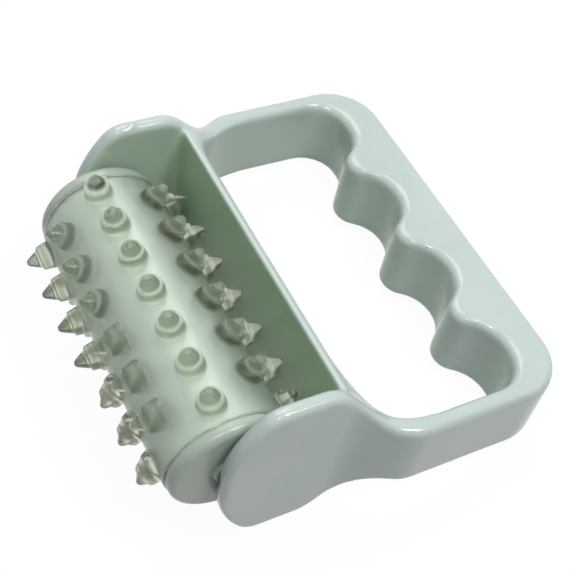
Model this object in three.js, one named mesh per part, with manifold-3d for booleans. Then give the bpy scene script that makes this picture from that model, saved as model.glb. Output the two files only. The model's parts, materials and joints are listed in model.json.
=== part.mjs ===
// A handheld massage roller. One moulded frame holds a drum between two ears and ends in a loop
// handle with four finger grooves. The drum is a tube with a cap pressed into each end, and a clear
// soft sleeve with blunt spikes is stretched over it. Stub pins on the caps turn in the ears.
// Millimetres. The frame is drawn flat, with the drum's axis as its Y axis and the grip towards +X,
// and is then laid down as it rests on a table.
import * as THREE from 'three';
import { mergeVertices } from 'three/addons/utils/BufferGeometryUtils.js';
import Module from 'manifold-3d';

const wasm = await Module();
wasm.setup();

// Fits
const FIT_GAP = 0.3; // between pieces that touch or plug together
const RUNNING_GAP = 1.1; // from a cap's outer face to the ear beside it
const SPIKE_CLEARANCE = 0.7; // from the spike tips to the wall behind them
const CUT_OVERRUN = 1; // how far a cutting shape stands out of what it cuts
const WELD_SHARE = 0.001; // points closer than this share of the fit gap are one point

// Spikes, which are one piece with the sleeve
const SPIKE_PITCH = 10; // along the drum
const SPIKES_ALONG = 7; // in a full row; the rows between hold one fewer, half a pitch along
const SPIKE_ROWS = 8; // around the drum
const FIRST_ROW_ANGLE = -13; // degrees from straight up, towards the grip
const SPIKE_HEIGHT = 5.8;
const COLLAR_RADIUS = 3.2;
const COLLAR_HEIGHT = 2.8;
const COLLAR_DRAFT = 0.35; // how much narrower the collar is at its top
const COLLAR_ROUND = 0.5;
const CONE_RADIUS = 2.15;
const TIP_RADIUS = 1;

// Sleeve, drum core and caps
const SLEEVE_RADIUS = 14.2;
const SLEEVE_WALL = 2;
const SLEEVE_MARGIN = 4.4; // from the last spikes to the sleeve's end
const SLEEVE_EDGE = 0.4;
const CORE_WALL = 2.2;
const FLANGE_RADIUS = 13.8;
const FLANGE_THICKNESS = 3;
const FLANGE_EDGE = 1.2;
const SPIGOT_LENGTH = 8;
const SPIGOT_WALL = 1.6;
const HUB_RADIUS = 5.5;
const PIN_RADIUS = 2.5;
const PIN_CHAMFER = 0.5;
const SOCKET_DEPTH = 2.6;
const LEAD_IN_DEPTH = 1.5; // of the ramp that guides a pin to its socket, at the ear's end
const LEAD_IN_SHALLOW = 0.6; // the same at the socket

// Ears and back wall
const EAR_THICKNESS = 3.9;
const EAR_HEIGHT = 43.4;
const EAR_REACH = 4.6; // how far the ears stand past the drum's axis
const EAR_TIP_FLAT = 4; // height of the flat at the very end
const EAR_CORNER = 6.2;
const EAR_BOW_SHARE = 1.42; // radius of the ear's bowed end, of half its height
const WALL_THICKNESS = 3.4;
const WALL_CORNER = 2; // fillet between the wall and an ear
const GUSSET_RADIUS = 17.7; // fillet between the wall and an arm
const WALL_STEP = 0.38; // how far the wall's rim lies under the ears' rims
const ROUND_SHARE = 0.46; // the most that an edge is rounded, of the thickness there
const GATE_MARK_RADIUS = 0.7;
const GATE_MARK_HEIGHT = 0.6;
const GATE_MARK_PLACE = 8.5; // from the drum's axis

// Handle loop
const ARM_THICKNESS = 4.5;
const ARM_HEIGHT = 19.4;
const REACH = 76.2; // from the drum's axis to the grip's outer face
const GRIP_THICKNESS = 9.9; // at the bottom of a finger groove
const RIDGE_HEIGHT = 6.6; // between two fingers
const FINGER_PITCH = 24.3;
const FINGERS = 4;
const GROOVE_RADIUS_SHARE = 0.4; // of the finger pitch
const END_ROOM = 9.1; // from the middle of an end groove to the arm
const GRIP_ROUND = 2.4; // rounding of the grip's edges
const INNER_CORNER = 8.1;
const OUTER_CORNER = 12;
const RAMP_LEAD = 5; // how far before the wall the ears start to fall
const RAMP_LENGTH = 18; // over which their height falls to the arm's
const FLARE_LAG = 0.6; // how far behind the wall's front face they start to spread
const FLARE_LENGTH = 17; // over which they spread to the arms

// Steps of the curves
const ARC_STEPS = 8;
const CORNER_STEPS = 4;
const EDGE_STEPS = 3;
const FLARE_STEPS = 15;
const WALL_STEPS = 4;
const GUSSET_STEPS = 9;
const HALVINGS = 30; // in a search by halves
const ROUND_SIDES = 48;
const PIN_SIDES = 24;
const SPIKE_SIDES = 10;

// Sizes that follow from the ones above
const tipRadius = SLEEVE_RADIUS + SPIKE_HEIGHT;
const sleeveHalf = ((SPIKES_ALONG - 1) * SPIKE_PITCH) / 2 + SLEEVE_MARGIN;
const sleeveBore = SLEEVE_RADIUS - SLEEVE_WALL;
const coreRadius = sleeveBore - FIT_GAP;
const coreBore = coreRadius - CORE_WALL;
const flangeInner = sleeveHalf + FIT_GAP;
const flangeOuter = flangeInner + FLANGE_THICKNESS;
const earInner = flangeOuter + RUNNING_GAP;
const earOuter = earInner + EAR_THICKNESS;
const socketRadius = PIN_RADIUS + FIT_GAP;
const wallFront = tipRadius + SPIKE_CLEARANCE;
const wallBack = wallFront + WALL_THICKNESS;
const rampStart = wallFront - RAMP_LEAD;
const flareStart = wallFront + FLARE_LAG;
const flareEnd = flareStart + FLARE_LENGTH;
const endGroove = ((FINGERS - 1) / 2) * FINGER_PITCH;
const armInner = endGroove + END_ROOM;
const armOuter = armInner + ARM_THICKNESS;
const grooveBottom = REACH - GRIP_THICKNESS;
const grooveRadius = GROOVE_RADIUS_SHARE * FINGER_PITCH;
const earHalf = EAR_HEIGHT / 2;
const armHalf = ARM_HEIGHT / 2;
const earRound = Math.min(GRIP_ROUND, ROUND_SHARE * EAR_THICKNESS);
const wallRound = Math.min(GRIP_ROUND, ROUND_SHARE * WALL_THICKNESS);

const degrees = THREE.MathUtils.degToRad;

// Points of an arc about (x, y), from one angle to another, both ends included.
function arc(x, y, radius, from, to, steps) {
  const points = [];
  for (let i = 0; i <= steps; i += 1) {
    const angle = from + ((to - from) * i) / steps;
    points.push(new THREE.Vector2(x + radius * Math.cos(angle), y + radius * Math.sin(angle)));
  }
  return points;
}

function solid(geometry) {
  const bare = geometry.clone();
  bare.deleteAttribute('normal');
  bare.deleteAttribute('uv');
  const merged = mergeVertices(bare, WELD_SHARE * FIT_GAP);
  return new wasm.Manifold(
    new wasm.Mesh({
      numProp: 3,
      vertProperties: new Float32Array(merged.attributes.position.array),
      triVerts: new Uint32Array(merged.index.array),
    }),
  );
}

function geometryOf(manifold) {
  const mesh = manifold.getMesh();
  const geometry = new THREE.BufferGeometry();
  geometry.setAttribute('position', new THREE.BufferAttribute(new Float32Array(mesh.vertProperties), 3));
  geometry.setIndex(new THREE.BufferAttribute(new Uint32Array(mesh.triVerts), 1));
  return geometry;
}

// A turned piece about the Y axis, from points of (radius, place along the axis).
function turned(points, sides) {
  const profile = points.map(([radius, along]) => new THREE.Vector2(radius, along));
  return new THREE.LatheGeometry(profile, sides);
}

// The ear's end is one wide arc with a rounded corner above and below.
const bowRadius = EAR_BOW_SHARE * earHalf;
const bowCentre = Math.sqrt(bowRadius ** 2 - (EAR_TIP_FLAT / 2) ** 2) - EAR_REACH;
const cornerAngle = Math.asin((earHalf - EAR_CORNER) / (bowRadius - EAR_CORNER));
const cornerCentre = bowCentre - (bowRadius - EAR_CORNER) * Math.cos(cornerAngle);
const cornerStart = bowCentre - bowRadius * Math.cos(cornerAngle);

// Half the height of the frame at a place along X.
function halfHeight(x) {
  if (x < cornerStart) {
    return Math.sqrt(bowRadius ** 2 - (bowCentre - x) ** 2);
  }
  if (x < cornerCentre) {
    return earHalf - EAR_CORNER + Math.sqrt(EAR_CORNER ** 2 - (cornerCentre - x) ** 2);
  }
  const share = THREE.MathUtils.clamp((x - rampStart) / RAMP_LENGTH, 0, 1);
  return armHalf + ((earHalf - armHalf) * (1 + Math.cos(Math.PI * share))) / 2;
}

// How far the ears have spread towards the arms at a place along X, from 0 to 1.
function spread(x) {
  const share = THREE.MathUtils.clamp((x - flareStart) / FLARE_LENGTH, 0, 1);
  return (1 - Math.cos(Math.PI * share)) / 2;
}

// A cross-section of the handle strip: its outer and inner points seen from above, and half its height.
function section(outer, inner, half) {
  return { outer, inner, half };
}

// Sections of an ear, from its rounded end to where it starts to fall and spread.
function earSections() {
  const sections = [];
  const at = (x, thinning) => {
    const outer = new THREE.Vector2(x, earOuter - thinning);
    const inner = new THREE.Vector2(x, earInner + thinning);
    sections.push(section(outer, inner, halfHeight(x)));
  };
  for (let i = 1; i <= EDGE_STEPS; i += 1) {
    const angle = (i / (EDGE_STEPS + 1)) * (Math.PI / 2);
    at(earRound * (1 - Math.cos(angle)) - EAR_REACH, earRound * (1 - Math.sin(angle)));
  }
  const bowStart = Math.acos((bowCentre + EAR_REACH - earRound) / bowRadius);
  for (const point of arc(bowCentre, 0, bowRadius, bowStart, cornerAngle, CORNER_STEPS)) {
    at(2 * bowCentre - point.x, 0);
  }
  for (const point of arc(cornerCentre, 0, EAR_CORNER, cornerAngle, Math.PI / 2, CORNER_STEPS).slice(1)) {
    at(2 * cornerCentre - point.x, 0);
  }
  return sections;
}

// The ears' faces seen from above, which spread towards the arms: the inner one at 0, the outer at 1.
function earFace(x, across) {
  const narrow = THREE.MathUtils.lerp(earInner, earOuter, across);
  const wide = THREE.MathUtils.lerp(armInner, armOuter, across);
  return new THREE.Vector2(x, THREE.MathUtils.lerp(narrow, wide, spread(x)));
}

function armSections() {
  const sections = [];
  for (let i = 0; i <= FLARE_STEPS; i += 1) {
    const x = THREE.MathUtils.lerp(rampStart, flareEnd, i / FLARE_STEPS);
    sections.push(section(earFace(x, 1), earFace(x, 0), halfHeight(x)));
  }
  const corner = (x, y, radius) => arc(x - radius, y - radius, radius, Math.PI / 2, 0, ARC_STEPS);
  const inner = corner(grooveBottom, armInner, INNER_CORNER);
  corner(REACH, armOuter, OUTER_CORNER).forEach((point, i) => {
    sections.push(section(point, inner[i], armHalf));
  });
  return sections;
}

// Half of the grip. The finger grooves and the ridges between them are arcs that run into each other.
function gripSections() {
  const ridgeRadius =
    (FINGER_PITCH ** 2 / 4 - 2 * grooveRadius * RIDGE_HEIGHT + RIDGE_HEIGHT ** 2) / (2 * RIDGE_HEIGHT);
  const turn = Math.asin(FINGER_PITCH / 2 / (grooveRadius + ridgeRadius));
  const grooveCentre = grooveBottom - grooveRadius;
  const ridgeCentre = grooveBottom - RIDGE_HEIGHT + ridgeRadius;
  const wave = [];
  for (let finger = 0; finger < FINGERS / 2; finger += 1) {
    const y = endGroove - finger * FINGER_PITCH;
    const ridgeY = y - FINGER_PITCH / 2;
    wave.push(...arc(grooveCentre, y, grooveRadius, finger === 0 ? 0 : turn, -turn, ARC_STEPS));
    const ridge = arc(ridgeCentre, ridgeY, ridgeRadius, Math.PI - turn, Math.PI + turn, CORNER_STEPS);
    wave.push(...ridge.slice(1, -1));
  }
  return wave
    .filter((point) => point.y > -FIT_GAP)
    .map((point) => section(new THREE.Vector2(REACH, point.y), point, armHalf));
}

// The points of one section's rounded outline.
function ring({ outer, inner, half }) {
  const thickness = outer.distanceTo(inner);
  const round = Math.min(GRIP_ROUND, ROUND_SHARE * thickness, ROUND_SHARE * half * 2);
  const corners = [
    [thickness - round, half - round],
    [round, half - round],
    [round, round - half],
    [thickness - round, round - half],
  ];
  return corners.flatMap(([along, z], corner) =>
    arc(along, z, round, (corner * Math.PI) / 2, ((corner + 1) * Math.PI) / 2, EDGE_STEPS).map((point) => {
      const flat = outer.clone().lerp(inner, point.x / thickness);
      return new THREE.Vector3(flat.x, flat.y, point.y);
    }),
  );
}

// A closed body through a row of rings with the same number of points, with both ends filled.
function loft(rings) {
  const sides = rings[0].length;
  const points = rings.flat();
  const index = [];
  for (let k = 0; k < rings.length - 1; k += 1) {
    for (let j = 0; j < sides; j += 1) {
      const a = k * sides + j;
      const b = k * sides + ((j + 1) % sides);
      index.push(a, a + sides, b + sides, a, b + sides, b);
    }
  }
  for (const [first, flip] of [[0, false], [(rings.length - 1) * sides, true]]) {
    const middle = points.length;
    const sum = new THREE.Vector3();
    points.slice(first, first + sides).forEach((point) => sum.add(point));
    points.push(sum.divideScalar(sides));
    for (let j = 0; j < sides; j += 1) {
      const a = first + j;
      const b = first + ((j + 1) % sides);
      index.push(...(flip ? [middle, b, a] : [middle, a, b]));
    }
  }
  const geometry = new THREE.BufferGeometry().setFromPoints(points);
  geometry.setIndex(index);
  return geometry;
}

// The strip that is an ear, an arm, the grip, the other arm and the other ear, in one sweep.
function makeStrip() {
  const half = [...earSections(), ...armSections(), ...gripSections()];
  const flip = (point) => new THREE.Vector2(point.x, -point.y);
  const other = half
    .filter(({ inner }) => inner.y > FIT_GAP)
    .map((one) => section(flip(one.outer), flip(one.inner), one.half))
    .reverse();
  return loft([...half, ...other].map(ring));
}

// One section through the wall, from a point on its front face to one on its back face. Both edges of
// its rim are rounded, and the rim follows the frame's height.
function wallRing(front, back) {
  const thickness = front.distanceTo(back);
  const round = Math.min(wallRound, ROUND_SHARE * thickness);
  const edge = arc(round, -round, round, Math.PI, Math.PI / 2, EDGE_STEPS);
  const profile = edge.map((point) => [point.x, -point.y]);
  for (let i = 1; i < WALL_STEPS; i += 1) {
    profile.push([THREE.MathUtils.lerp(round, thickness - round, i / WALL_STEPS), 0]);
  }
  profile.push(...edge.reverse().map((point) => [thickness - point.x, -point.y]));
  const top = profile.map(([along, drop]) => {
    const flat = front.clone().lerp(back, along / thickness);
    return new THREE.Vector3(flat.x, flat.y, halfHeight(flat.x) - WALL_STEP - drop);
  });
  const bottom = top.map((point) => new THREE.Vector3(point.x, point.y, -point.z));
  return [...top, ...bottom.reverse()];
}

// How far it is from a point inside the loop, in one direction, to the middle of the ear or arm.
function toMiddle(from, direction) {
  let near = 0;
  let far = from.distanceTo(new THREE.Vector2(wallFront, armOuter));
  for (let i = 0; i < HALVINGS; i += 1) {
    const halfway = (near + far) / 2;
    const point = from.clone().addScaledVector(direction, halfway);
    if (point.y < earFace(point.x, 1 / 2).y) {
      near = halfway;
    } else {
      far = halfway;
    }
  }
  return near;
}

// The wall between the ears, in one sweep. Behind, a wide fillet carries it to each arm. There its
// sections turn about the fillet's centre, and their front ends are buried in the ear and the arm.
function makeWall() {
  const centre = new THREE.Vector2(wallBack + GUSSET_RADIUS, armInner - GUSSET_RADIUS);
  const back = arc(centre.x, centre.y, GUSSET_RADIUS, Math.PI / 2, Math.PI, GUSSET_STEPS);
  const half = back.map((point) => {
    const away = point.clone().sub(centre).normalize();
    const toFront = (centre.x - wallFront) / Math.abs(away.x);
    const front = centre.clone().addScaledVector(away, Math.min(toFront, toMiddle(centre, away)));
    return wallRing(front, point);
  });
  const other = half.map((ring) => ring.map(({ x, y, z }) => new THREE.Vector3(x, -y, z))).reverse();
  return loft([...half, ...other]);
}

// The small fillet in the corner between the wall's front and an ear's inner face.
function makeFillet(side) {
  const startX = wallFront - WALL_CORNER;
  const startY = earInner - WALL_CORNER;
  const rootX = wallFront + WALL_THICKNESS / 2;
  const rootY = earInner + EAR_THICKNESS / 2;
  const outline = new THREE.Shape([
    ...arc(startX, startY, WALL_CORNER, Math.PI / 2, 0, CORNER_STEPS),
    new THREE.Vector2(rootX, startY),
    new THREE.Vector2(rootX, rootY),
    new THREE.Vector2(startX, rootY),
  ]);
  const height = 2 * (halfHeight(rootX) - WALL_STEP - wallRound);
  const fillet = new THREE.ExtrudeGeometry(outline, { depth: height, bevelEnabled: false });
  fillet.translate(0, 0, -height / 2);
  if (side < 0) {
    fillet.rotateX(Math.PI);
  }
  return solid(fillet);
}

function makeFrame() {
  let frame = solid(makeStrip()).add(solid(makeWall()));
  for (const side of [1, -1]) {
    frame = frame.add(makeFillet(side)).add(gateMark(side));
    frame = frame.subtract(socket(side)).subtract(leadIn(side));
  }
  return geometryOf(frame);
}

// The blind hole in an ear that a cap's pin turns in.
function socket(side) {
  const depth = SOCKET_DEPTH + CUT_OVERRUN;
  const hole = new THREE.CylinderGeometry(socketRadius, socketRadius, depth, PIN_SIDES);
  hole.translate(0, side * (earInner + SOCKET_DEPTH - depth / 2), 0);
  return solid(hole);
}

// The shallow ramp in the ear's inner face that the pin slides up when the drum is pushed in.
function leadIn(side) {
  const outline = new THREE.Shape([
    new THREE.Vector2(-EAR_REACH - CUT_OVERRUN, -CUT_OVERRUN),
    new THREE.Vector2(0, -CUT_OVERRUN),
    new THREE.Vector2(0, LEAD_IN_SHALLOW),
    new THREE.Vector2(-EAR_REACH, LEAD_IN_DEPTH),
    new THREE.Vector2(-EAR_REACH - CUT_OVERRUN, LEAD_IN_DEPTH),
  ]);
  const ramp = new THREE.ExtrudeGeometry(outline, { depth: 2 * socketRadius, bevelEnabled: false });
  ramp.translate(0, earInner, -socketRadius);
  if (side < 0) {
    ramp.rotateX(Math.PI);
  }
  return solid(ramp);
}

// The stub left where the plastic entered the mould, above one ear and below the other.
function gateMark(side) {
  const height = GATE_MARK_HEIGHT + earRound;
  const y = earInner + EAR_THICKNESS / 2;
  const z = earHalf - earRound + height / 2;
  const mark = new THREE.CylinderGeometry(GATE_MARK_RADIUS, GATE_MARK_RADIUS, height, SPIKE_SIDES);
  mark.rotateX(Math.PI / 2);
  mark.translate(GATE_MARK_PLACE, side * y, side * z);
  return solid(mark);
}

function makeCore() {
  return turned(
    [
      [coreBore, -sleeveHalf],
      [coreRadius, -sleeveHalf],
      [coreRadius, sleeveHalf],
      [coreBore, sleeveHalf],
      [coreBore, -sleeveHalf],
    ],
    ROUND_SIDES,
  );
}

// A cap: a spigot that plugs into the core, a flange with a rounded rim, a hub and a stub pin.
function makeCap(side) {
  const spigotRadius = coreBore - FIT_GAP;
  const hubEnd = earInner - FIT_GAP;
  const pinEnd = earInner + SOCKET_DEPTH - FIT_GAP;
  const spigotEnd = flangeInner - SPIGOT_LENGTH;
  const rimRadius = FLANGE_RADIUS - FLANGE_EDGE;
  const rim = arc(rimRadius, flangeOuter - FLANGE_EDGE, FLANGE_EDGE, 0, Math.PI / 2, CORNER_STEPS);
  const points = [
    [0, flangeInner],
    [spigotRadius - SPIGOT_WALL, flangeInner],
    [spigotRadius - SPIGOT_WALL, spigotEnd],
    [spigotRadius, spigotEnd],
    [spigotRadius, flangeInner],
    [FLANGE_RADIUS, flangeInner],
    ...rim.map((point) => [point.x, point.y]),
    [HUB_RADIUS, flangeOuter],
    [HUB_RADIUS, hubEnd],
    [PIN_RADIUS, hubEnd],
    [PIN_RADIUS, pinEnd - PIN_CHAMFER],
    [PIN_RADIUS - PIN_CHAMFER, pinEnd],
    [0, pinEnd],
  ];
  const cap = turned(points, ROUND_SIDES);
  if (side < 0) {
    cap.rotateX(Math.PI);
  }
  return cap;
}

// One spike about its own axis: a collar with a round shoulder, and a blunt cone on it.
function makeSpike() {
  const foot = -SLEEVE_WALL / 2;
  const shoulder = COLLAR_RADIUS - COLLAR_DRAFT;
  const points = [
    [0, foot],
    [COLLAR_RADIUS, foot],
    [shoulder, COLLAR_HEIGHT - COLLAR_ROUND],
    [shoulder - COLLAR_ROUND, COLLAR_HEIGHT],
    [CONE_RADIUS, COLLAR_HEIGHT],
    [TIP_RADIUS, SPIKE_HEIGHT - TIP_RADIUS / 2],
    [0, SPIKE_HEIGHT],
  ];
  return turned(points, SPIKE_SIDES);
}

// The sleeve is a tube with rounded ends, and every spike is joined to it.
function makeSleeve() {
  const tube = turned(
    [
      [sleeveBore, -sleeveHalf],
      [SLEEVE_RADIUS - SLEEVE_EDGE, -sleeveHalf],
      [SLEEVE_RADIUS, SLEEVE_EDGE - sleeveHalf],
      [SLEEVE_RADIUS, sleeveHalf - SLEEVE_EDGE],
      [SLEEVE_RADIUS - SLEEVE_EDGE, sleeveHalf],
      [sleeveBore, sleeveHalf],
      [sleeveBore, -sleeveHalf],
    ],
    ROUND_SIDES,
  );
  const spike = makeSpike();
  let sleeve = solid(tube);
  for (let row = 0; row < SPIKE_ROWS; row += 1) {
    const angle = degrees(FIRST_ROW_ANGLE) + (2 * Math.PI * row) / SPIKE_ROWS;
    const count = SPIKES_ALONG - (row % 2);
    for (let i = 0; i < count; i += 1) {
      const along = (i - (count - 1) / 2) * SPIKE_PITCH;
      const placed = spike.clone();
      placed.rotateX(Math.PI / 2);
      placed.translate(0, along, SLEEVE_RADIUS);
      placed.rotateY(angle);
      sleeve = sleeve.add(solid(placed));
    }
  }
  return geometryOf(sleeve);
}

const mintPlastic = new THREE.MeshStandardMaterial({ color: 0xbfcbc1, roughness: 0.35, metalness: 0 });
const paleCore = new THREE.MeshStandardMaterial({ color: 0xc3d2c8, roughness: 0.4, metalness: 0 });
const clearSoft = new THREE.MeshStandardMaterial({
  color: 0xc8d4ca,
  roughness: 0.15,
  metalness: 0,
  transparent: true,
  opacity: 0.5,
});

function named(name, geometry, material) {
  const mesh = new THREE.Mesh(geometry, material);
  mesh.name = name;
  return mesh;
}

const roller = new THREE.Group();
roller.add(named('handle_frame', makeFrame(), mintPlastic));
roller.add(named('drum_core', makeCore(), paleCore));
roller.add(named('end_cap_left', makeCap(1), mintPlastic));
roller.add(named('end_cap_right', makeCap(-1), mintPlastic));
roller.add(named('spiked_sleeve', makeSleeve(), clearSoft));

// On a table the roller lies on the lower edges of its ears and on the grip, so the whole is tipped
// until the line under both is level.
function restTilt() {
  let steepest = 0;
  const gripEdge = REACH - GRIP_ROUND;
  for (let i = 0; i <= FLARE_STEPS; i += 1) {
    const x = rampStart + (RAMP_LENGTH * i) / FLARE_STEPS;
    steepest = Math.max(steepest, (halfHeight(x) - armHalf) / (gripEdge - x));
  }
  return Math.atan(steepest);
}

roller.rotation.y = restTilt();
const box = new THREE.Box3().setFromObject(roller, true);
roller.position.set(-(box.min.x + box.max.x) / 2, 0, -box.min.z);

const group = new THREE.Group();
group.add(roller);

export default group;
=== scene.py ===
import json
import math

import bmesh
import bpy
import numpy as np
from mathutils import Matrix, Vector


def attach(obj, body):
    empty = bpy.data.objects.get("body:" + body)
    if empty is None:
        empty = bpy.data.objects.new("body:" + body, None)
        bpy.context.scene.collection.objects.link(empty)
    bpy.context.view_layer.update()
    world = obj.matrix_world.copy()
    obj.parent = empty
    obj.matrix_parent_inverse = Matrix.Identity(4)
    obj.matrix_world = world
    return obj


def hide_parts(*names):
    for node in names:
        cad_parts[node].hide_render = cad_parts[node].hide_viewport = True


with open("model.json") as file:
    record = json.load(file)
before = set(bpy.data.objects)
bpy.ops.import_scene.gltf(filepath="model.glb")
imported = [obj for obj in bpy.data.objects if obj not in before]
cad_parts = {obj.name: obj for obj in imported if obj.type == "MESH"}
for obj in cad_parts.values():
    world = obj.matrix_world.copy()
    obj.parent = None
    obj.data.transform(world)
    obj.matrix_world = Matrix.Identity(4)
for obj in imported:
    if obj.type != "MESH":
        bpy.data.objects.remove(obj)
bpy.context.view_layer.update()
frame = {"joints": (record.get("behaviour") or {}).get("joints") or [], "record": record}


# The handle frame is one thick moulding of satin polypropylene in a pale grey-green: two ears, the
# wall behind the drum, two arms and the grip with its four finger grooves. It leaves the mould in
# one piece, so its rims run into each other without a seam. All sizes here are in millimetres.
MM = 0.001
EAR_INNER = 38.8  # from the middle of the roller
EAR_THICKNESS = 3.9
EAR_HALF = 21.7
EAR_REACH = 4.6  # how far the ears stand past the drum's axis
EAR_TIP_FLAT = 4
EAR_CORNER = 6.2
EAR_BOW_SHARE = 1.42  # radius of an ear's bowed end, of half its height
ARM_INNER = 45.55
ARM_THICKNESS = 4.5
ARM_HALF = 9.7
GRIP_OUTER = 76.2  # from the drum's axis
GRIP_THICKNESS = 9.9  # at the bottom of a groove
GRIP_ROUND = 2.4
RIDGE_HEIGHT = 6.6  # between two fingers
FINGER_PITCH = 24.3
GROOVE_PLACES = (1.5, 0.5)  # on one side of the middle, in finger pitches
GROOVE_RADIUS = 9.72
INNER_CORNER = 8.1
OUTER_CORNER = 12
RAMP_START = 15.7  # where the ears start to fall to the arms' height
RAMP_LENGTH = 18
FLARE_START = 21.3  # where they start to spread
FLARE_LENGTH = 17
WALL_FRONT = 20.7
WALL_BACK = 24.1
WALL_CORNER = 2  # fillet between the wall and an ear
WALL_DROP = 0.3  # how far the wall's rim lies under the ears' rims
WALL_STEPS = 6
FILLET_ROOT = 1.5  # how deep that fillet stands in the wall and the ear
FILLET_DROP = 1.2  # how far it ends under the wall's rim
GUSSET_RADIUS = 17.7  # fillet between the wall and an arm
ROUND_SHARE = 0.46  # the most that an edge is rounded, of the thickness there
SOCKET_RADIUS = 2.8
SOCKET_DEPTH = 2.6
LEAD_IN_DEEP = 1.5  # of the ramp that guides a pin to its socket, at the ear's end
LEAD_IN_SHALLOW = 0.6  # the same at the socket
GATE_RADIUS = 0.7
GATE_HEIGHT = 0.6
GATE_PLACE = 8.5
GATE_SIDES = 24
OVERRUN = 1  # how far a cutting shape stands out of what it cuts
VOXEL = 0.5
SOFTENING = 0.5
SOFTENING_ROUNDS = 6
FINE = 40  # steps of the large curves
HALVINGS = 40
EDGE = 8  # steps of a rounded edge
TINY = 1e-6

ear_bow = EAR_BOW_SHARE * EAR_HALF
bow_centre = math.sqrt(ear_bow**2 - (EAR_TIP_FLAT / 2) ** 2) - EAR_REACH
corner_angle = math.asin((EAR_HALF - EAR_CORNER) / (ear_bow - EAR_CORNER))
corner_centre = bow_centre - (ear_bow - EAR_CORNER) * math.cos(corner_angle)
corner_start = bow_centre - ear_bow * math.cos(corner_angle)


def arc(x, y, radius, start, end, steps):
    angles = np.linspace(start, end, steps + 1)
    return np.stack([x + radius * np.cos(angles), y + radius * np.sin(angles)], 1)


def half_height(x):
    """Half the height of the moulding at a place along the handle."""
    if x < corner_start:
        return math.sqrt(max(ear_bow**2 - (bow_centre - x) ** 2, 0))
    if x < corner_centre:
        return EAR_HALF - EAR_CORNER + math.sqrt(EAR_CORNER**2 - (corner_centre - x) ** 2)
    share = min(max((x - RAMP_START) / RAMP_LENGTH, 0), 1)
    return ARM_HALF + (EAR_HALF - ARM_HALF) * (1 + math.cos(math.pi * share)) / 2


def ear_face(x, across):
    """A place in an ear seen from above, 0 across on its inner face and 1 on its outer face."""
    share = min(max((x - FLARE_START) / FLARE_LENGTH, 0), 1)
    spread = (1 - math.cos(math.pi * share)) / 2
    narrow = EAR_INNER + EAR_THICKNESS * across
    wide = ARM_INNER + ARM_THICKNESS * across
    return np.array([x, narrow + (wide - narrow) * spread])


def strip_ring(outer, inner, half):
    """The rounded outline of one cross-section through an ear, an arm or the grip."""
    thickness = np.linalg.norm(outer - inner)
    rounding = min(GRIP_ROUND, ROUND_SHARE * thickness, ROUND_SHARE * half * 2)
    corners = (
        (thickness - rounding, half - rounding),
        (rounding, half - rounding),
        (rounding, rounding - half),
        (thickness - rounding, rounding - half),
    )
    points = []
    for quarter, (along, z) in enumerate(corners):
        start = quarter * math.pi / 2
        for distance, height in arc(along, z, rounding, start, start + math.pi / 2, EDGE):
            flat = outer + (inner - outer) * distance / thickness
            points.append((flat[0], flat[1], height))
    return np.array(points)


def grip_half():
    """The grip's grooves and ridges from a corner of the loop to the middle."""
    groove_bottom = GRIP_OUTER - GRIP_THICKNESS
    ridge_radius = (
        FINGER_PITCH**2 / 4 - 2 * GROOVE_RADIUS * RIDGE_HEIGHT + RIDGE_HEIGHT**2
    ) / (2 * RIDGE_HEIGHT)
    ridge_centre = groove_bottom - RIDGE_HEIGHT + ridge_radius
    turn = math.asin(FINGER_PITCH / 2 / (GROOVE_RADIUS + ridge_radius))
    points = []
    for place in GROOVE_PLACES:
        y = place * FINGER_PITCH
        start = 0 if place == GROOVE_PLACES[0] else turn
        groove = arc(groove_bottom - GROOVE_RADIUS, y, GROOVE_RADIUS, start, -turn, FINE // 2)
        ridge_y = y - FINGER_PITCH / 2
        ridge = arc(
            ridge_centre, ridge_y, ridge_radius, math.pi - turn, math.pi + turn, FINE // 2
        )
        points += [point for point in (*groove, *ridge[1:-1]) if point[1] > 0]
    return points


def strip_half():
    """Cross-sections from an ear's rounded end, round the arm, to the middle of the grip."""
    sections = []
    edge = ROUND_SHARE * EAR_THICKNESS
    for angle in np.linspace(0, math.pi / 2, EDGE + 1)[1:-1]:
        x = edge * (1 - math.cos(angle)) - EAR_REACH
        thinning = edge * (1 - math.sin(angle))
        outer = np.array([x, EAR_INNER + EAR_THICKNESS - thinning])
        sections.append((outer, np.array([x, EAR_INNER + thinning]), half_height(x)))
    turn = np.linspace(0, math.pi / 2, FINE + 1)
    ear_places = (corner_centre + EAR_REACH - edge) * (1 - np.cos(turn)) + edge - EAR_REACH
    arm_places = np.linspace(corner_centre, FLARE_START + FLARE_LENGTH, 2 * FINE)[1:]
    for x in (*ear_places, *arm_places):
        sections.append((ear_face(x, 1), ear_face(x, 0), half_height(x)))
    outer_x = GRIP_OUTER - OUTER_CORNER
    outer_y = ARM_INNER + ARM_THICKNESS - OUTER_CORNER
    outer_corner = arc(outer_x, outer_y, OUTER_CORNER, math.pi / 2, 0, FINE)
    inner_x = GRIP_OUTER - GRIP_THICKNESS - INNER_CORNER
    inner_y = ARM_INNER - INNER_CORNER
    inner_corner = arc(inner_x, inner_y, INNER_CORNER, math.pi / 2, 0, FINE)
    sections += [(outer, inner, ARM_HALF) for outer, inner in zip(outer_corner, inner_corner)]
    for point in grip_half():
        sections.append((np.array([GRIP_OUTER, point[1]]), point, ARM_HALF))
    return [strip_ring(*section) for section in sections]


def mirrored(rings):
    return [ring * (1, -1, 1) for ring in reversed(rings)]


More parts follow.
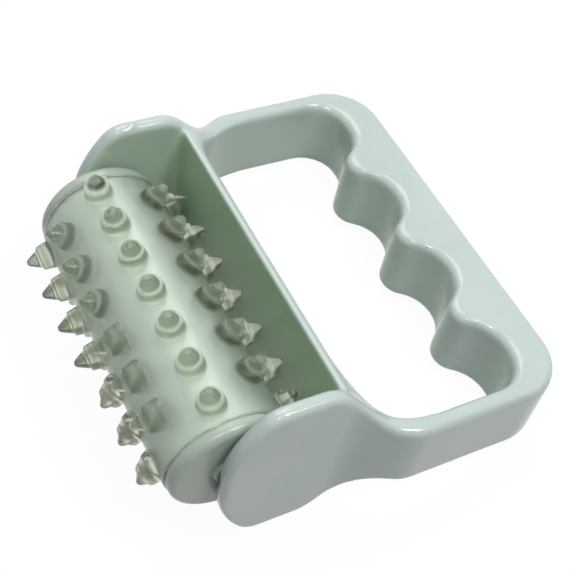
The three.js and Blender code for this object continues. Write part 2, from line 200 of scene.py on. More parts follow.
def wall_ring(front, back):
    """One section through the wall, with the edges of its rims rounded."""
    thickness = np.linalg.norm(back - front)
    rounding = ROUND_SHARE * min(thickness, WALL_BACK - WALL_FRONT)
    quarter = arc(rounding, -rounding, rounding, math.pi, math.pi / 2, EDGE)
    rise = [(x, -y) for x, y in quarter]
    flat = [(x, 0) for x in np.linspace(rounding, thickness - rounding, WALL_STEPS)[1:-1]]
    fall = [(thickness - x, drop) for x, drop in reversed(rise)]
    top = []
    for along, drop in (*rise, *flat, *fall):
        x, y = front + (back - front) * along / thickness
        top.append((x, y, half_height(x) - WALL_DROP - drop))
    return np.array([*top, *((x, y, -z) for x, y, z in reversed(top))])


def wall_half():
    """Sections of the wall from an arm to the middle, turned about the wide fillet's centre."""
    centre = np.array([WALL_BACK + GUSSET_RADIUS, ARM_INNER - GUSSET_RADIUS])
    rings = []
    for angle in np.linspace(math.pi / 2, math.pi, FINE + 1):
        away = np.array([math.cos(angle), math.sin(angle)])
        to_front = (centre[0] - WALL_FRONT) / max(abs(away[0]), TINY)
        # The wall ends in the middle of the strip, at a place that is found by halving.
        near, far = 0, ARM_INNER + ARM_THICKNESS
        for _ in range(HALVINGS):
            halfway = (near + far) / 2
            x, y = centre + away * halfway
            inside = y < ear_face(x, 1 / 2)[1]
            near, far = (halfway, far) if inside else (near, halfway)
        front = centre + away * min(to_front, near)
        rings.append(wall_ring(front, centre + away * GUSSET_RADIUS))
    return rings


def loft(rings):
    """A closed skin through rings that have the same number of points."""
    sides = len(rings[0])
    last = (len(rings) - 1) * sides
    faces = [tuple(range(sides)), tuple(range(last, last + sides))]
    for start in range(0, last, sides):
        for j in range(sides):
            after = (j + 1) % sides
            faces.append((start + j, start + after, start + sides + after, start + sides + j))
    return np.concatenate(rings), faces


def prism(outline, low, high):
    return loft([np.array([(x, y, z) for x, y in outline]) for z in (low, high)])


def piece_from(name, *skins):
    """A new piece from closed skins of (points, faces), with its faces pointing out."""
    shape = bmesh.new()
    for points, faces in skins:
        corners = [shape.verts.new(point) for point in points]
        for face in faces:
            shape.faces.new([corners[i] for i in face])
    bmesh.ops.recalc_face_normals(shape, faces=shape.faces)
    mesh = bpy.data.meshes.new(name)
    shape.to_mesh(mesh)
    shape.free()
    piece = bpy.data.objects.new(name, mesh)
    bpy.context.scene.collection.objects.link(piece)
    return piece


def settle(piece):
    """Puts what the modifiers make in the piece's own mesh and takes the modifiers off."""
    graph = bpy.context.evaluated_depsgraph_get()
    piece.data = bpy.data.meshes.new_from_object(piece.evaluated_get(graph))
    piece.modifiers.clear()


towards_grip = Vector(frame["record"]["mounts"][0]["axis"])
drum_centre = Vector(frame["joints"][0]["pos_m"])
lie = Matrix((towards_grip, (0, 1, 0), towards_grip.cross((0, 1, 0)))).transposed().to_4x4()
in_place = Matrix.Translation(drum_centre) @ lie @ Matrix.Scale(MM, 4)


def lay_down(piece):
    """Turns the piece from the flat drawing to the way the roller lies on a table, in metres."""
    piece.data.transform(in_place)


def remove(piece):
    bpy.data.objects.remove(piece)


def fillet_outline():
    """The small fillet in the corner of the wall and an ear, seen from above."""
    middle = (WALL_FRONT - WALL_CORNER, EAR_INNER - WALL_CORNER)
    corner = arc(*middle, WALL_CORNER, math.pi / 2, 0, EDGE)
    root = (WALL_FRONT + FILLET_ROOT, EAR_INNER + FILLET_ROOT)
    return [*corner, (root[0], corner[-1][1]), root, (corner[0][0], root[1])]


def side_of(skin, side):
    """The skin for the far ear as drawn, or for the near ear, turned about the handle's axis."""
    points, faces = skin
    return points * (1, side, side), faces


fillet_half = half_height(WALL_FRONT + FILLET_ROOT) - WALL_DROP - FILLET_DROP
fillet = prism(fillet_outline(), -fillet_half, fillet_half)
gate_middle = (GATE_PLACE, EAR_INNER + EAR_THICKNESS / 2)
gate_circle = arc(*gate_middle, GATE_RADIUS, 0, 2 * math.pi, GATE_SIDES)[:-1]
gate_mark = prism(gate_circle, EAR_HALF - OVERRUN, EAR_HALF + GATE_HEIGHT)
ramp = prism(
    [
        (-EAR_REACH - OVERRUN, EAR_INNER - OVERRUN),
        (0, EAR_INNER - OVERRUN),
        (0, EAR_INNER + LEAD_IN_SHALLOW),
        (-EAR_REACH, EAR_INNER + LEAD_IN_DEEP),
        (-EAR_REACH - OVERRUN, EAR_INNER + LEAD_IN_DEEP),
    ],
    -SOCKET_RADIUS,
    SOCKET_RADIUS,
)
socket_circle = arc(0, 0, SOCKET_RADIUS, 0, 2 * math.pi, FINE)[:-1]
socket_points, socket_faces = prism(socket_circle, EAR_INNER - OVERRUN, EAR_INNER + SOCKET_DEPTH)
socket_hole = (socket_points[:, [0, 2, 1]], socket_faces)

handle = piece_from("handle_moulding", loft(strip_half() + mirrored(strip_half())))
# The sockets for the caps' pins, each with the ramp that a pin slides in by.
for name, skin in (("ramp", ramp), ("socket", socket_hole)):
    for side in (1, -1):
        cutter = piece_from(f"{name}_cutter", side_of(skin, side))
        cut = handle.modifiers.new("cut", "BOOLEAN")
        cut.operation = "DIFFERENCE"
        cut.solver = "EXACT"
        cut.object = cutter
        settle(handle)
        remove(cutter)
additions = piece_from(
    "additions",
    loft(wall_half() + mirrored(wall_half())),
    *(side_of(skin, side) for skin in (fillet, gate_mark) for side in (1, -1)),
)
# The shapes still cross each other. They become one skin, softened where they meet.
together = bmesh.new()
together.from_mesh(handle.data)
together.from_mesh(additions.data)
together.to_mesh(handle.data)
together.free()
remove(additions)
merge = handle.modifiers.new("merge", "REMESH")
merge.mode = "VOXEL"
merge.voxel_size = VOXEL
merge.use_smooth_shade = True
soften = handle.modifiers.new("soften", "SMOOTH")
soften.factor = SOFTENING
soften.iterations = SOFTENING_ROUNDS
settle(handle)

# How deep in a hollow each face is: the room round the drum, or the loop that the fingers go in.
# There the plastic is made duller, and a deeper green is painted on as painted shade.
LOOP_MIDDLE = 46
LOOP_SHARE = 0.3  # of the wall's depth, inside the loop
EAR_SHARE = 0.5  # of it, on the ears' inner faces
LOOKING_GAIN = 2  # how soon a face that turns inwards has all of it
RIM_FADE = 1.5  # how fast the depth fades where a face turns up or down to a rim
flat = np.array([point.co for point in handle.data.vertices])
facing = np.array([point.normal for point in handle.data.vertices])
by_drum = flat[:, 0] < (WALL_FRONT + WALL_BACK) / 2
inwards = np.where(by_drum, 0, LOOP_MIDDLE) - flat[:, 0], -flat[:, 1]
looks_in = (facing[:, 0] * inwards[0] + facing[:, 1] * inwards[1]) / np.hypot(*inwards)
upright = np.clip(1 - RIM_FADE * abs(facing[:, 2]), 0, 1)
depth = np.where(by_drum, abs(facing[:, 0]) + EAR_SHARE * abs(facing[:, 1]), LOOP_SHARE)
hollow = handle.data.attributes.new("hollow", "FLOAT", "POINT")
hollow.data.foreach_set("value", np.clip(looks_in * LOOKING_GAIN, 0, 1) * upright * depth)
lay_down(handle)


class Value:
    """A number that comes out of a node, so that maths on it reads as plain arithmetic."""

    def __init__(self, nodes, socket):
        self.nodes = nodes
        self.socket = socket

    def maths(self, operation, first, second):
        return self.nodes.add("ShaderNodeMath", {"operation": operation}, {0: first, 1: second})

    def __add__(self, other):
        return self.maths("ADD", self, other)

    __radd__ = __add__

    def __sub__(self, other):
        return self.maths("SUBTRACT", self, other)

    def __rsub__(self, other):
        return self.maths("SUBTRACT", other, self)

    def __mul__(self, other):
        return self.maths("MULTIPLY", self, other)

    __rmul__ = __mul__

    def __truediv__(self, other):
        return self.maths("DIVIDE", self, other)

    def __mod__(self, other):
        return self.maths("MODULO", self, other)

    def __floordiv__(self, other):
        return self.nodes.add("ShaderNodeMath", {"operation": "FLOOR"}, {0: self / other})


class Nodes:
    """The nodes of one material or one geometry tree."""

    def __init__(self, tree):
        self.tree = tree

    def add(self, kind, settings, sockets, output=0):
        """Adds a node, sets it up, fills its sockets with values or links and gives an output."""
        node = self.tree.nodes.new(kind)
        stops = settings.pop("stops", None)
        for name, setting in settings.items():
            setattr(node, name, setting)
        if stops:
            # A new stop starts half way along and is then moved to its place.
            ramp = node.color_ramp
            while len(ramp.elements) < len(stops):
                ramp.elements.new(0.5)
            for element, (position, colour) in zip(ramp.elements, stops):
                element.position = position
                element.color = (*colour, 1)
        for name, value in sockets.items():
            for one in value if isinstance(value, list) else [value]:
                if isinstance(one, Value):
                    self.tree.links.new(one.socket, node.inputs[name])
                else:
                    node.inputs[name].default_value = one
        return Value(self, node.outputs[output]) if node.outputs else None


def new_finish(name):
    """An empty material and its nodes."""
    finish = bpy.data.materials.new(name)
    finish.use_nodes = True
    finish.node_tree.nodes.clear()
    return finish, Nodes(finish.node_tree)


# The grain and glow of moulded plastic, with scales per metre and depths in metres.
CLOUDS = {"Scale": 38.0, "Detail": 3.0, "Roughness": 0.5}
SPECKS = {"Scale": 900.0, "Detail": 2.0, "Roughness": 0.6}
SATIN = {"Scale": 2600.0, "Detail": 2.0, "Roughness": 0.55}
SHADE_STOP = 0.35
COLOUR_STOP = 0.65
CLOUD_TONE = 0.8
SPECK_TONE = 0.2
CLOUD_DULLING = 0.08
SPECK_DULLING = 0.04
HOLLOW_DULLING = 0.3
SATIN_HEIGHT = 0.7
SPECK_HEIGHT = 0.3
GRAIN_DEPTH = 0.00006
PLASTIC_IOR = 1.49
GLOW_WEIGHT = 0.15  # share of the light that goes a little way into the plastic
GLOW_DEPTH = (0.0012, 0.0016, 0.0012)
MIX_FACTOR, MIX_FIRST, MIX_SECOND, MIX_RESULT = 0, 6, 7, 2  # sockets of a mix of two colours


def moulded_plastic(name, colour, shade, roughness, grain, pearl=0.0, painted_shade=None):
    """Moulded plastic: faint clouds of tone from the flow in the mould, and a fine satin grain.

    Where faces look into a hollow of the piece, the plastic is duller, and a deeper green is
    painted there as painted shade."""
    finish, nodes = new_finish(name)
    place = nodes.add("ShaderNodeTexCoord", {}, {}, "Object")
    clouds = nodes.add("ShaderNodeTexNoise", {}, {"Vector": place, **CLOUDS})
    specks = nodes.add("ShaderNodeTexNoise", {}, {"Vector": place, **SPECKS})
    satin = nodes.add("ShaderNodeTexNoise", {}, {"Vector": place, **SATIN})
    tone = nodes.add(
        "ShaderNodeValToRGB",
        {"stops": ((SHADE_STOP, shade), (COLOUR_STOP, colour))},
        {"Fac": clouds * CLOUD_TONE + specks * SPECK_TONE},
    )
    roughness = roughness + clouds * CLOUD_DULLING + specks * SPECK_DULLING
    # Painted shade: a deeper green is mixed in where faces look into a hollow.
    if painted_shade:
        hollow = nodes.add("ShaderNodeAttribute", {"attribute_name": "hollow"}, {}, "Fac")
        tone = nodes.add(
            "ShaderNodeMix",
            {"data_type": "RGBA"},
            {MIX_FACTOR: hollow, MIX_FIRST: tone, MIX_SECOND: (*painted_shade, 1)},
            MIX_RESULT,
        )
        roughness = roughness + hollow * HOLLOW_DULLING
    height = satin * SATIN_HEIGHT + specks * SPECK_HEIGHT
    bump = nodes.add(
        "ShaderNodeBump", {}, {"Strength": grain, "Distance": GRAIN_DEPTH, "Height": height}
    )
    body = nodes.add(
        "ShaderNodeBsdfPrincipled",
        {},
        {
            "Base Color": tone,
            "Roughness": roughness,
            "Normal": bump,
            "IOR": PLASTIC_IOR,
            "Subsurface Weight": GLOW_WEIGHT,
            "Subsurface Radius": GLOW_DEPTH,
            "Subsurface Scale": 1.0,
            "Metallic": pearl,
        },
    )
    nodes.add("ShaderNodeOutputMaterial", {}, {"Surface": body})
    return finish


MINT = (0.53, 0.61, 0.59)
MINT_SHADE = (0.49, 0.58, 0.535)
# The deeper green that is painted in the hollows as painted shade.
MINT_PAINTED_SHADE = (0.46, 0.65, 0.44)
HANDLE_ROUGHNESS = 0.1
HANDLE_GRAIN = 0.05
handle.data.materials.clear()
handle.data.materials.append(
    moulded_plastic(
        "satin_grey_green", MINT, MINT_SHADE, HANDLE_ROUGHNESS, HANDLE_GRAIN, painted_shade=MINT_PAINTED_SHADE
    )
)
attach(handle, "frame")
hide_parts("handle_frame")


# The drum's core is a moulded tube in pale plastic with a pearly sheen. It carries the sleeve on
# its outside, and takes the spigot of a cap in each end.
SLEEVE_HALF = 34.4  # half the length of the sleeve and the core
CORE_RADIUS = 12.25
CORE_BORE = 9.7
CORE_EDGE = 0.4
BORE_EDGE = 0.5
ROUND_SIDES = 144
ROUNDING_STEPS = 6
CRISP_ANGLE = 40


def rounded(corners):
    """A profile whose corners, given as (radius, along, rounding), are rounded by arcs."""
    profile = []
    count = len(corners)
    for i, (radius, along, rounding) in enumerate(corners):
        here = np.array([radius, along], float)
        if not rounding:
            profile.append(here)
            continue
        before = np.array(corners[i - 1][:2], float) - here
        after = np.array(corners[(i + 1) % count][:2], float) - here
        before /= np.linalg.norm(before)
        after /= np.linalg.norm(after)
        half = math.acos(np.clip(before @ after, -1, 1)) / 2
        start = here + before * rounding / math.tan(half)
        end = here + after * rounding / math.tan(half)
        inwards = (before + after) / np.linalg.norm(before + after)
        centre = here + inwards * rounding / math.sin(half)
        for share in np.linspace(0, 1, ROUNDING_STEPS + 1):
            chord = start + (end - start) * share - centre
            profile.append(centre + chord / np.linalg.norm(chord) * rounding)
    return profile


def turned(profile, sides=ROUND_SIDES):
    """A skin turned about the drum's axis, with poles where the profile starts and ends on it."""
    poles = profile[0][0] == 0
    ring_points = profile[1:-1] if poles else profile
    angles = np.arange(sides) * 2 * math.pi / sides
    points = [(r * math.sin(a), y, r * math.cos(a)) for r, y in ring_points for a in angles]
    rings = len(ring_points)
    faces = []
    for i in range(rings - 1 if poles else rings):
        for j in range(sides):
            here, after = i * sides, (i + 1) % rings * sides
            beside = (j + 1) % sides
            faces.append((here + j, here + beside, after + beside, after + j))
    if poles:
        for pole, start in ((profile[0], 0), (profile[-1], (rings - 1) * sides)):
            points.append((0, pole[1], 0))
            tip = len(points) - 1
            faces += [(tip, start + j, start + (j + 1) % sides) for j in range(sides)]
    return np.array(points), faces


def smooth_but_for_edges(piece, degrees):
    piece.data.shade_smooth()
    piece.data.set_sharp_from_angle(angle=math.radians(degrees))


core = piece_from(
    "core_tube",
    turned(
        rounded(
            [
                (CORE_BORE, -SLEEVE_HALF, BORE_EDGE),
                (CORE_RADIUS, -SLEEVE_HALF, CORE_EDGE),
                (CORE_RADIUS, SLEEVE_HALF, CORE_EDGE),
                (CORE_BORE, SLEEVE_HALF, BORE_EDGE),
            ]
        )
    ),
)
smooth_but_for_edges(core, CRISP_ANGLE)
lay_down(core)

CORE_TONE = (0.655, 0.765, 0.71)
CORE_SHADE = (0.615, 0.725, 0.665)
CORE_ROUGHNESS = 0.43
CORE_GRAIN = 0.1
CORE_PEARL = 0.55
core.data.materials.append(
    moulded_plastic("pale_core", CORE_TONE, CORE_SHADE, CORE_ROUGHNESS, CORE_GRAIN, CORE_PEARL)
)
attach(core, "drum")
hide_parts("drum_core")


# A cap closes each end of the drum. Its spigot is pressed into the core, its flange has a softly
# rounded rim, and a hub with a stub pin turns in the ear.
FLANGE_INNER = 34.7
FLANGE_OUTER = 37.7
FLANGE_RADIUS = 13.8
FLANGE_INNER_EDGE = 0.4
FLANGE_OUTER_EDGE = 1.7
SPIGOT_RADIUS = 9.4
SPIGOT_WALL = 1.6
SPIGOT_LENGTH = 8
SPIGOT_BORE_EDGE = 0.3
SPIGOT_TIP_EDGE = 0.5
SPIGOT_ROOT = 0.2
HUB_RADIUS = 4.2
HUB_END = 38.5
HUB_ROOT = 0.3
HUB_EDGE = 0.25
PIN_RADIUS = 2.5
PIN_END = 41.1
PIN_CHAMFER = 0.5
PIN_EDGE = 0.2

CAP_TONE = (0.40, 0.47, 0.41)
CAP_SHADE = (0.385, 0.455, 0.395)
CAP_ROUGHNESS = 0.22
CAP_GRAIN = 0.01
cap_plastic = moulded_plastic("satin_cap", CAP_TONE, CAP_SHADE, CAP_ROUGHNESS, CAP_GRAIN)

spigot_end = FLANGE_INNER - SPIGOT_LENGTH
cap_profile = rounded(
    [
        (0, FLANGE_INNER, 0),
        (SPIGOT_RADIUS - SPIGOT_WALL, FLANGE_INNER, SPIGOT_BORE_EDGE),
        (SPIGOT_RADIUS - SPIGOT_WALL, spigot_end, SPIGOT_BORE_EDGE),
        (SPIGOT_RADIUS, spigot_end, SPIGOT_TIP_EDGE),
        (SPIGOT_RADIUS, FLANGE_INNER, SPIGOT_ROOT),
        (FLANGE_RADIUS, FLANGE_INNER, FLANGE_INNER_EDGE),
        (FLANGE_RADIUS, FLANGE_OUTER, FLANGE_OUTER_EDGE),
        (HUB_RADIUS, FLANGE_OUTER, HUB_ROOT),
        (HUB_RADIUS, HUB_END, HUB_EDGE),
        (PIN_RADIUS, HUB_END, PIN_EDGE),
        (PIN_RADIUS, PIN_END - PIN_CHAMFER, PIN_EDGE),
        (PIN_RADIUS - PIN_CHAMFER, PIN_END, PIN_EDGE),
        (0, PIN_END, 0),
    ]
)
for name, side in (("left", 1), ("right", -1)):
    cap = piece_from(f"cap_{name}", turned([(r, side * y) for r, y in cap_profile]))
    smooth_but_for_edges(cap, CRISP_ANGLE)
    lay_down(cap)
    cap.data.materials.append(cap_plastic)
    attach(cap, "drum")
    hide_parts(f"end_cap_{name}")


# The sleeve is a soft clear tube, a little smoky, moulded in one with eight rows of blunt spikes
# and stretched over the core. Each spike is a collar with a round shoulder and a cone on it.
SLEEVE_RADIUS = 14.2
SLEEVE_BORE = 12.2
SLEEVE_EDGE = 0.5
SLEEVE_BORE_EDGE = 0.3
SPIKE_PITCH = 10
SPIKES_IN_ROW = 7
SPIKE_ROWS = 8
FIRST_ROW = -13  # degrees from straight up, towards the grip
SPIKE_SIDES = 36
COLLAR_RADIUS = 3.2
COLLAR_TOP = 2.85
COLLAR_HEIGHT = 2.8
COLLAR_ROUND = 0.45
COLLAR_DRAFT = 0.1  # radians that a collar's side leans in
CONE_RADIUS = 2.15
CONE_FILLET = 0.15
SPIKE_HEIGHT = 5.8
TIP_RADIUS = 1
FOOT_FILLET = 0.4
FOOT_START = 255  # degrees, where the foot's fillet leaves the sleeve's skin
FOOT_STEPS, SHOULDER_STEPS, CONE_STEPS, TIP_STEPS = 4, 5, 3, 6
ROOT = -1  # the height at which a spike ends inside the sleeve
SLIVER = 0.004  # points closer than this are one point
SPIKE_CRISP_ANGLE = 35


def spike_skin():
    """One spike on its own axis, its foot bent to the round of the sleeve."""
    up = math.pi / 2
    tip_middle = SPIKE_HEIGHT - TIP_RADIUS
    cone_lean = math.atan((CONE_RADIUS - TIP_RADIUS) / (tip_middle - COLLAR_HEIGHT))
    foot_radius = COLLAR_RADIUS + FOOT_FILLET
    foot_start = math.radians(FOOT_START)
    foot = arc(foot_radius, FOOT_FILLET, FOOT_FILLET, foot_start, math.pi, FOOT_STEPS)
    shoulder_spot = (COLLAR_TOP - COLLAR_ROUND, COLLAR_HEIGHT - COLLAR_ROUND)
    shoulder = arc(*shoulder_spot, COLLAR_ROUND, COLLAR_DRAFT, up, SHOULDER_STEPS)
    step_spot = (CONE_RADIUS + CONE_FILLET, COLLAR_HEIGHT + CONE_FILLET)
    step = arc(*step_spot, CONE_FILLET, -up, -math.pi, CONE_STEPS)
    tip = arc(0, tip_middle, TIP_RADIUS, cone_lean, up, TIP_STEPS)[:-1]
    profile = [(0, ROOT), (foot[0][0], ROOT), *foot, *shoulder, *step, *tip, (0, SPIKE_HEIGHT)]
    points, faces = turned(profile, SPIKE_SIDES)
    x, height, y = points.T
    sag = SLEEVE_RADIUS - np.sqrt(SLEEVE_RADIUS**2 - x**2)
    bent = np.clip(1 - height / COLLAR_HEIGHT, 0, 1)
    return np.stack([x, y, height - sag * bent], 1), faces


spike = piece_from("spike", spike_skin())
sleeve = piece_from(
    "clear_sleeve",
    turned(
        rounded(
            [
                (SLEEVE_BORE, -SLEEVE_HALF, SLEEVE_BORE_EDGE),
                (SLEEVE_RADIUS, -SLEEVE_HALF, SLEEVE_EDGE),
                (SLEEVE_RADIUS, SLEEVE_HALF, SLEEVE_EDGE),
                (SLEEVE_BORE, SLEEVE_HALF, SLEEVE_BORE_EDGE),
            ]
        )
    ),
)

CLEAR = (0.96, 0.98, 0.96)
# Up a spike, the collar's side and the cone are darker partly from the sleeve's smoke and partly as
# painted shade, which draws their dark rims and dark tips. The pale band on the shoulder is a
# painted highlight.
SMOKE_AND_SHADE_SIDE = (0.50, 0.54, 0.46)
PAINTED_HIGHLIGHT_SHOULDER = (0.89, 0.91, 0.88)
SMOKE_AND_SHADE_CONE = (0.46, 0.495, 0.42)
UP_A_SPIKE = (  # shares of a spike's height, each with its tint
    (0.06, CLEAR),
    (0.2, SMOKE_AND_SHADE_SIDE),
    (0.36, SMOKE_AND_SHADE_SIDE),
    (0.46, PAINTED_HIGHLIGHT_SHOULDER),
    (0.5, PAINTED_HIGHLIGHT_SHOULDER),
    (0.6, SMOKE_AND_SHADE_CONE),
)
# The sleeve's haze and soft waves, with scales per metre and depths in metres.
HAZE = {"Scale": 75.0, "Detail": 1.0, "Roughness": 0.4}
SKIN = {"Scale": 700.0, "Detail": 2.0, "Roughness": 0.5}
HAZE_HEIGHT = 0.95
SKIN_HEIGHT = 0.05
WAVE_STRENGTH = 0.3
WAVE_DEPTH = 0.0003
CLEAR_ROUGHNESS = 0.2
HAZE_DULLING = 0.08
CLEAR_IOR = 1.4
CLEARNESS = 0.93
SMOKE_TONE = (0.80, 0.82, 0.70, 1.0)
SMOKE_DENSITY = 130.0

clear_soft, nodes = new_finish("clear_soft_plastic")
place = nodes.add("ShaderNodeTexCoord", {}, {}, "Object")
haze = nodes.add("ShaderNodeTexNoise", {}, {"Vector": place, **HAZE})
skin = nodes.add("ShaderNodeTexNoise", {}, {"Vector": place, **SKIN})
height = haze * HAZE_HEIGHT + skin * SKIN_HEIGHT
waves = nodes.add(
    "ShaderNodeBump", {}, {"Strength": WAVE_STRENGTH, "Distance": WAVE_DEPTH, "Height": height}
)
in_drum = nodes.add(
    "ShaderNodeVectorMath", {"operation": "SUBTRACT"}, {0: place, 1: tuple(drum_centre)}
)
across = nodes.add("ShaderNodeVectorMath", {"operation": "MULTIPLY"}, {0: in_drum, 1: (1, 0, 1)})
from_axis = nodes.add("ShaderNodeVectorMath", {"operation": "LENGTH"}, {0: across}, "Value")
up_spike = (from_axis / MM - SLEEVE_RADIUS) / SPIKE_HEIGHT
# The base colour up each spike has two parts. The collar's side and the cone get smoke with painted
# shade, and the shoulder gets a painted highlight.
smoke_and_painted_light = nodes.add("ShaderNodeValToRGB", {"stops": UP_A_SPIKE}, {"Fac": up_spike})
clear = nodes.add(
    "ShaderNodeBsdfPrincipled",
    {},
    {
        "Base Color": smoke_and_painted_light,
        "Roughness": CLEAR_ROUGHNESS + haze * HAZE_DULLING,
        "Normal": waves,
        "IOR": CLEAR_IOR,
        "Transmission Weight": CLEARNESS,
    },
)
smoke = nodes.add(
    "ShaderNodeVolumeAbsorption", {}, {"Color": SMOKE_TONE, "Density": SMOKE_DENSITY}
)
nodes.add("ShaderNodeOutputMaterial", {}, {"Surface": clear, "Volume": smoke})

spikes = bpy.data.node_groups.new("spikes_on_sleeve", "GeometryNodeTree")
inputs = {}
for name, kind in (
    ("Sleeve", "NodeSocketGeometry"),
    ("Spike", "NodeSocketObject"),
    ("Sleeve radius", "NodeSocketFloat"),
    ("Pitch", "NodeSocketFloat"),
    ("Spikes in a row", "NodeSocketInt"),
    ("Rows", "NodeSocketInt"),
    ("First row", "NodeSocketFloat"),
    ("Finish", "NodeSocketMaterial"),
):
    inputs[name] = spikes.interface.new_socket(name, in_out="INPUT", socket_type=kind).identifier
spikes.interface.new_socket("Sleeve", in_out="OUTPUT", socket_type="NodeSocketGeometry")
nodes = Nodes(spikes)
given = {name: nodes.add("NodeGroupInput", {}, {}, name) for name in inputs}
index = nodes.add("GeometryNodeInputIndex", {}, {})
row = index // given["Spikes in a row"]
number = index - row * given["Spikes in a row"]
odd = row % 2
along = (number - (given["Spikes in a row"] - 1 - odd) / 2) * given["Pitch"]
angle = given["First row"] + row * (2 * math.pi) / given["Rows"]
sine = nodes.add("ShaderNodeMath", {"operation": "SINE"}, {0: angle})
cosine = nodes.add("ShaderNodeMath", {"operation": "COSINE"}, {0: angle})
spot = nodes.add(
    "ShaderNodeCombineXYZ",
    {},
    {"X": sine * given["Sleeve radius"], "Y": along, "Z": cosine * given["Sleeve radius"]},
)
count = given["Rows"] * given["Spikes in a row"]
spots = nodes.add("GeometryNodePoints", {}, {"Count": count, "Position": spot})
past_end = nodes.add(
    "FunctionNodeCompare",
    {"data_type": "FLOAT", "operation": "GREATER_EQUAL"},
    {"A": number + odd, "B": given["Spikes in a row"]},
)
kept = nodes.add(
    "GeometryNodeDeleteGeometry", {"domain": "POINT"}, {"Geometry": spots, "Selection": past_end}
)
one_spike = nodes.add(
    "GeometryNodeObjectInfo", {}, {"Object": given["Spike"], "As Instance": True}, "Geometry"
)
turn = nodes.add("ShaderNodeCombineXYZ", {}, {"Y": angle})
placed = nodes.add(
    "GeometryNodeInstanceOnPoints", {}, {"Points": kept, "Instance": one_spike, "Rotation": turn}
)
real = nodes.add("GeometryNodeRealizeInstances", {}, {"Geometry": placed})
whole = nodes.add(
    "GeometryNodeMeshBoolean",
    {"operation": "UNION", "solver": "EXACT"},
    {"Mesh 2": [given["Sleeve"], real]},
)
finished = nodes.add(
    "GeometryNodeSetMaterial", {}, {"Geometry": whole, "Material": given["Finish"]}
)
nodes.add("NodeGroupOutput", {}, {"Sleeve": finished})

moulding = sleeve.modifiers.new("spikes", "NODES")
moulding.node_group = spikes
for name, value in (
    ("Spike", spike),
    ("Sleeve radius", float(SLEEVE_RADIUS)),
    ("Pitch", float(SPIKE_PITCH)),
    ("Spikes in a row", SPIKES_IN_ROW),
    ("Rows", SPIKE_ROWS),
    ("First row", math.radians(FIRST_ROW)),
    ("Finish", clear_soft),
):
    moulding[inputs[name]] = value
settle(sleeve)
remove(spike)
# The thin slivers that the union leaves are closed.
trimmed = bmesh.new()
trimmed.from_mesh(sleeve.data)
bmesh.ops.remove_doubles(trimmed, verts=trimmed.verts, dist=SLIVER)
bmesh.ops.dissolve_degenerate(trimmed, edges=trimmed.edges, dist=SLIVER)
bmesh.ops.triangulate(trimmed, faces=trimmed.faces)
trimmed.to_mesh(sleeve.data)
trimmed.free()
smooth_but_for_edges(sleeve, SPIKE_CRISP_ANGLE)
lay_down(sleeve)
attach(sleeve, "drum")
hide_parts("spiked_sleeve")


# The roller lies on a plain white table under two broad soft lights and a small bright one, with
# white all around. The table shows as white and keeps a faint shadow. Sizes here are in metres.
TABLE_HALF = 3
TABLE_THICKNESS = 0.02
TABLE_TONE = 0.4
SHADOW_SHARE = 0.1
SURROUND = 0.12
WHITE = (1, 1, 1, 1)
DULL_LIMIT = 0.5  # less than this many dull surfaces on the light's way is none
LAMPS = (  # name, place, width and watts
    ("near_soft_box", (0.34, -0.34, 0.82), 0.32, 4.4),
    ("far_soft_box", (0.16, 0.52, 0.79), 0.62, 4.4),
    ("small_bright_box", (-0.12, -0.28, 0.94), 0.19, 2.1),
)
CAMERA_PLACE = (-0.06289925, -0.13742549, 0.2415073)
CAMERA_TURN = (34.4915128, 0.75006289, -26.77524624)
SENSOR_WIDTH = 36
FOCAL_LENGTH = 73.46094
SHIFT_X = 0.001337
SHIFT_Y = -0.002426


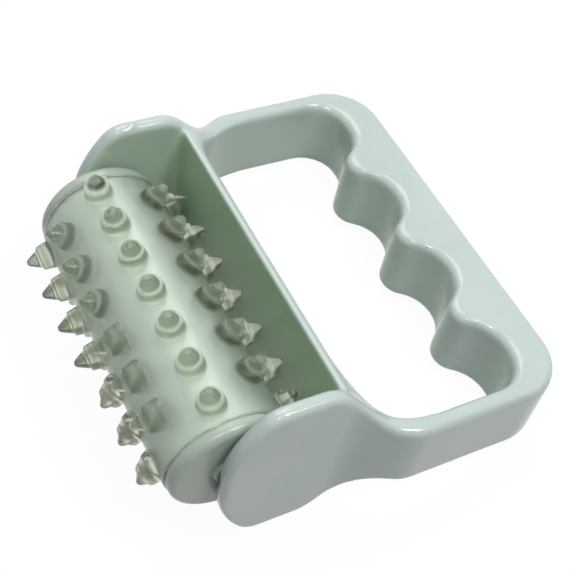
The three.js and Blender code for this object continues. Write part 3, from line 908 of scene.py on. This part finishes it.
def seen_as_background(nodes):
    """1 where the eye meets the white straight, in a gloss or through something clear, else 0.

    Light that a dull surface passes on doesn't count, so the white lights nothing in the sleeve."""
    seen = 0
    for way in ("Camera", "Glossy", "Transmission"):
        ray = nodes.add("ShaderNodeLightPath", {}, {}, f"Is {way} Ray")
        seen = nodes.add("ShaderNodeMath", {"operation": "MAXIMUM"}, {0: seen, 1: ray})
    passed_on = nodes.add("ShaderNodeLightPath", {}, {}, "Diffuse Depth")
    fresh = nodes.add("ShaderNodeMath", {"operation": "LESS_THAN"}, {0: passed_on, 1: DULL_LIMIT})
    return fresh * seen


corners = ((-1, -1), (1, -1), (1, 1), (-1, 1))
table_corners = [(x * TABLE_HALF, y * TABLE_HALF) for x, y in corners]
table = piece_from("table", prism(table_corners, -TABLE_THICKNESS, 0))
white, nodes = new_finish("white_table")
seen = seen_as_background(nodes)
table_colour = (TABLE_TONE, TABLE_TONE, TABLE_TONE, 1)
paint = nodes.add("ShaderNodeBsdfDiffuse", {}, {"Color": table_colour})
white_glow = (1 - SHADOW_SHARE * TABLE_TONE) / (1 - SHADOW_SHARE)
glow = nodes.add("ShaderNodeEmission", {}, {"Color": WHITE, "Strength": white_glow})
look = nodes.add("ShaderNodeMixShader", {}, {0: seen * (1 - SHADOW_SHARE), 1: paint, 2: glow})
nodes.add("ShaderNodeOutputMaterial", {}, {"Surface": look})
table.data.materials.append(white)

world = bpy.data.worlds.new("white_room")
bpy.context.scene.world = world
world.use_nodes = True
world.node_tree.nodes.clear()
nodes = Nodes(world.node_tree)
brightness = SURROUND + seen_as_background(nodes) * (1 - SURROUND)
sky = nodes.add("ShaderNodeBackground", {}, {"Color": WHITE, "Strength": brightness})
nodes.add("ShaderNodeOutputWorld", {}, {"Surface": sky})

for name, place, width, watts in LAMPS:
    lamp = bpy.data.lights.new(name, "AREA")
    lamp.size = width
    lamp.energy = watts
    soft_box = bpy.data.objects.new(name, lamp)
    soft_box.location = place
    soft_box.rotation_euler = Vector(place).to_track_quat("Z", "Y").to_euler()
    bpy.context.scene.collection.objects.link(soft_box)

lens = bpy.data.cameras.new("camera")
lens.sensor_width = SENSOR_WIDTH
lens.lens = FOCAL_LENGTH
lens.shift_x = SHIFT_X
lens.shift_y = SHIFT_Y
camera = bpy.data.objects.new("camera", lens)
camera.location = CAMERA_PLACE
camera.rotation_euler = [math.radians(angle) for angle in CAMERA_TURN]
bpy.context.scene.collection.objects.link(camera)
bpy.context.scene.camera = camera
bpy.context.scene.view_settings.view_transform = "Standard"
